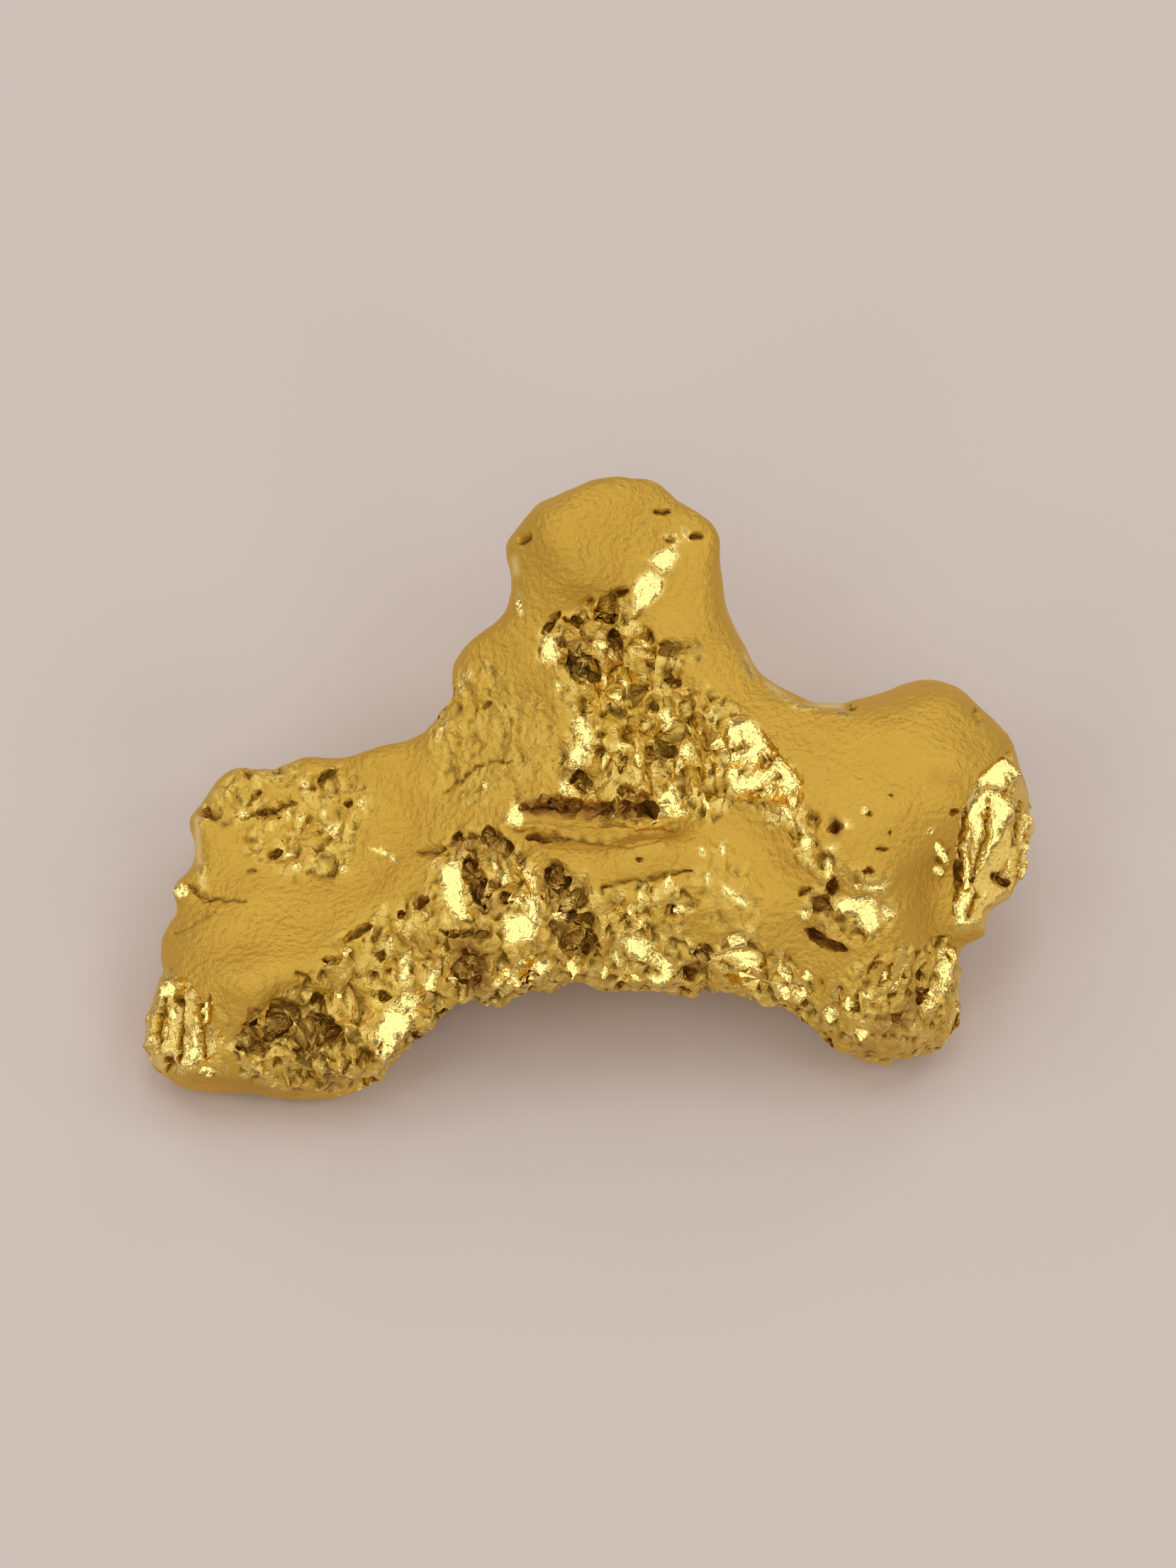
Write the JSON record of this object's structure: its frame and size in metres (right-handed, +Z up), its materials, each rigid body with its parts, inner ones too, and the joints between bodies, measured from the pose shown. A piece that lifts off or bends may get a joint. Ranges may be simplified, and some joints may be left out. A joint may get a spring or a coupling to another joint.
{
  "type": "gold nugget",
  "caption": "Small native gold nugget, a waterworn lump with a raised knob, two arms, a rough sparkling valley and an arched underside; rests on three worn feet.",
  "frame": {"origin": "on the ground, under the middle of the nugget's box", "axes": "+X along the length, from the left arm to the right arm; +Y towards the raised knob at the back; +Z up"},
  "size_m": [0.009, 0.0058, 0.0035],
  "materials": {
    "gold": "waterworn native gold: satin rich yellow on the worn faces, bright rough sparkling hollows, brown staining in the deepest pits"
  },
  "bodies": {
    "root": {"nugget": "gold"}
  },
  "joints": []
}
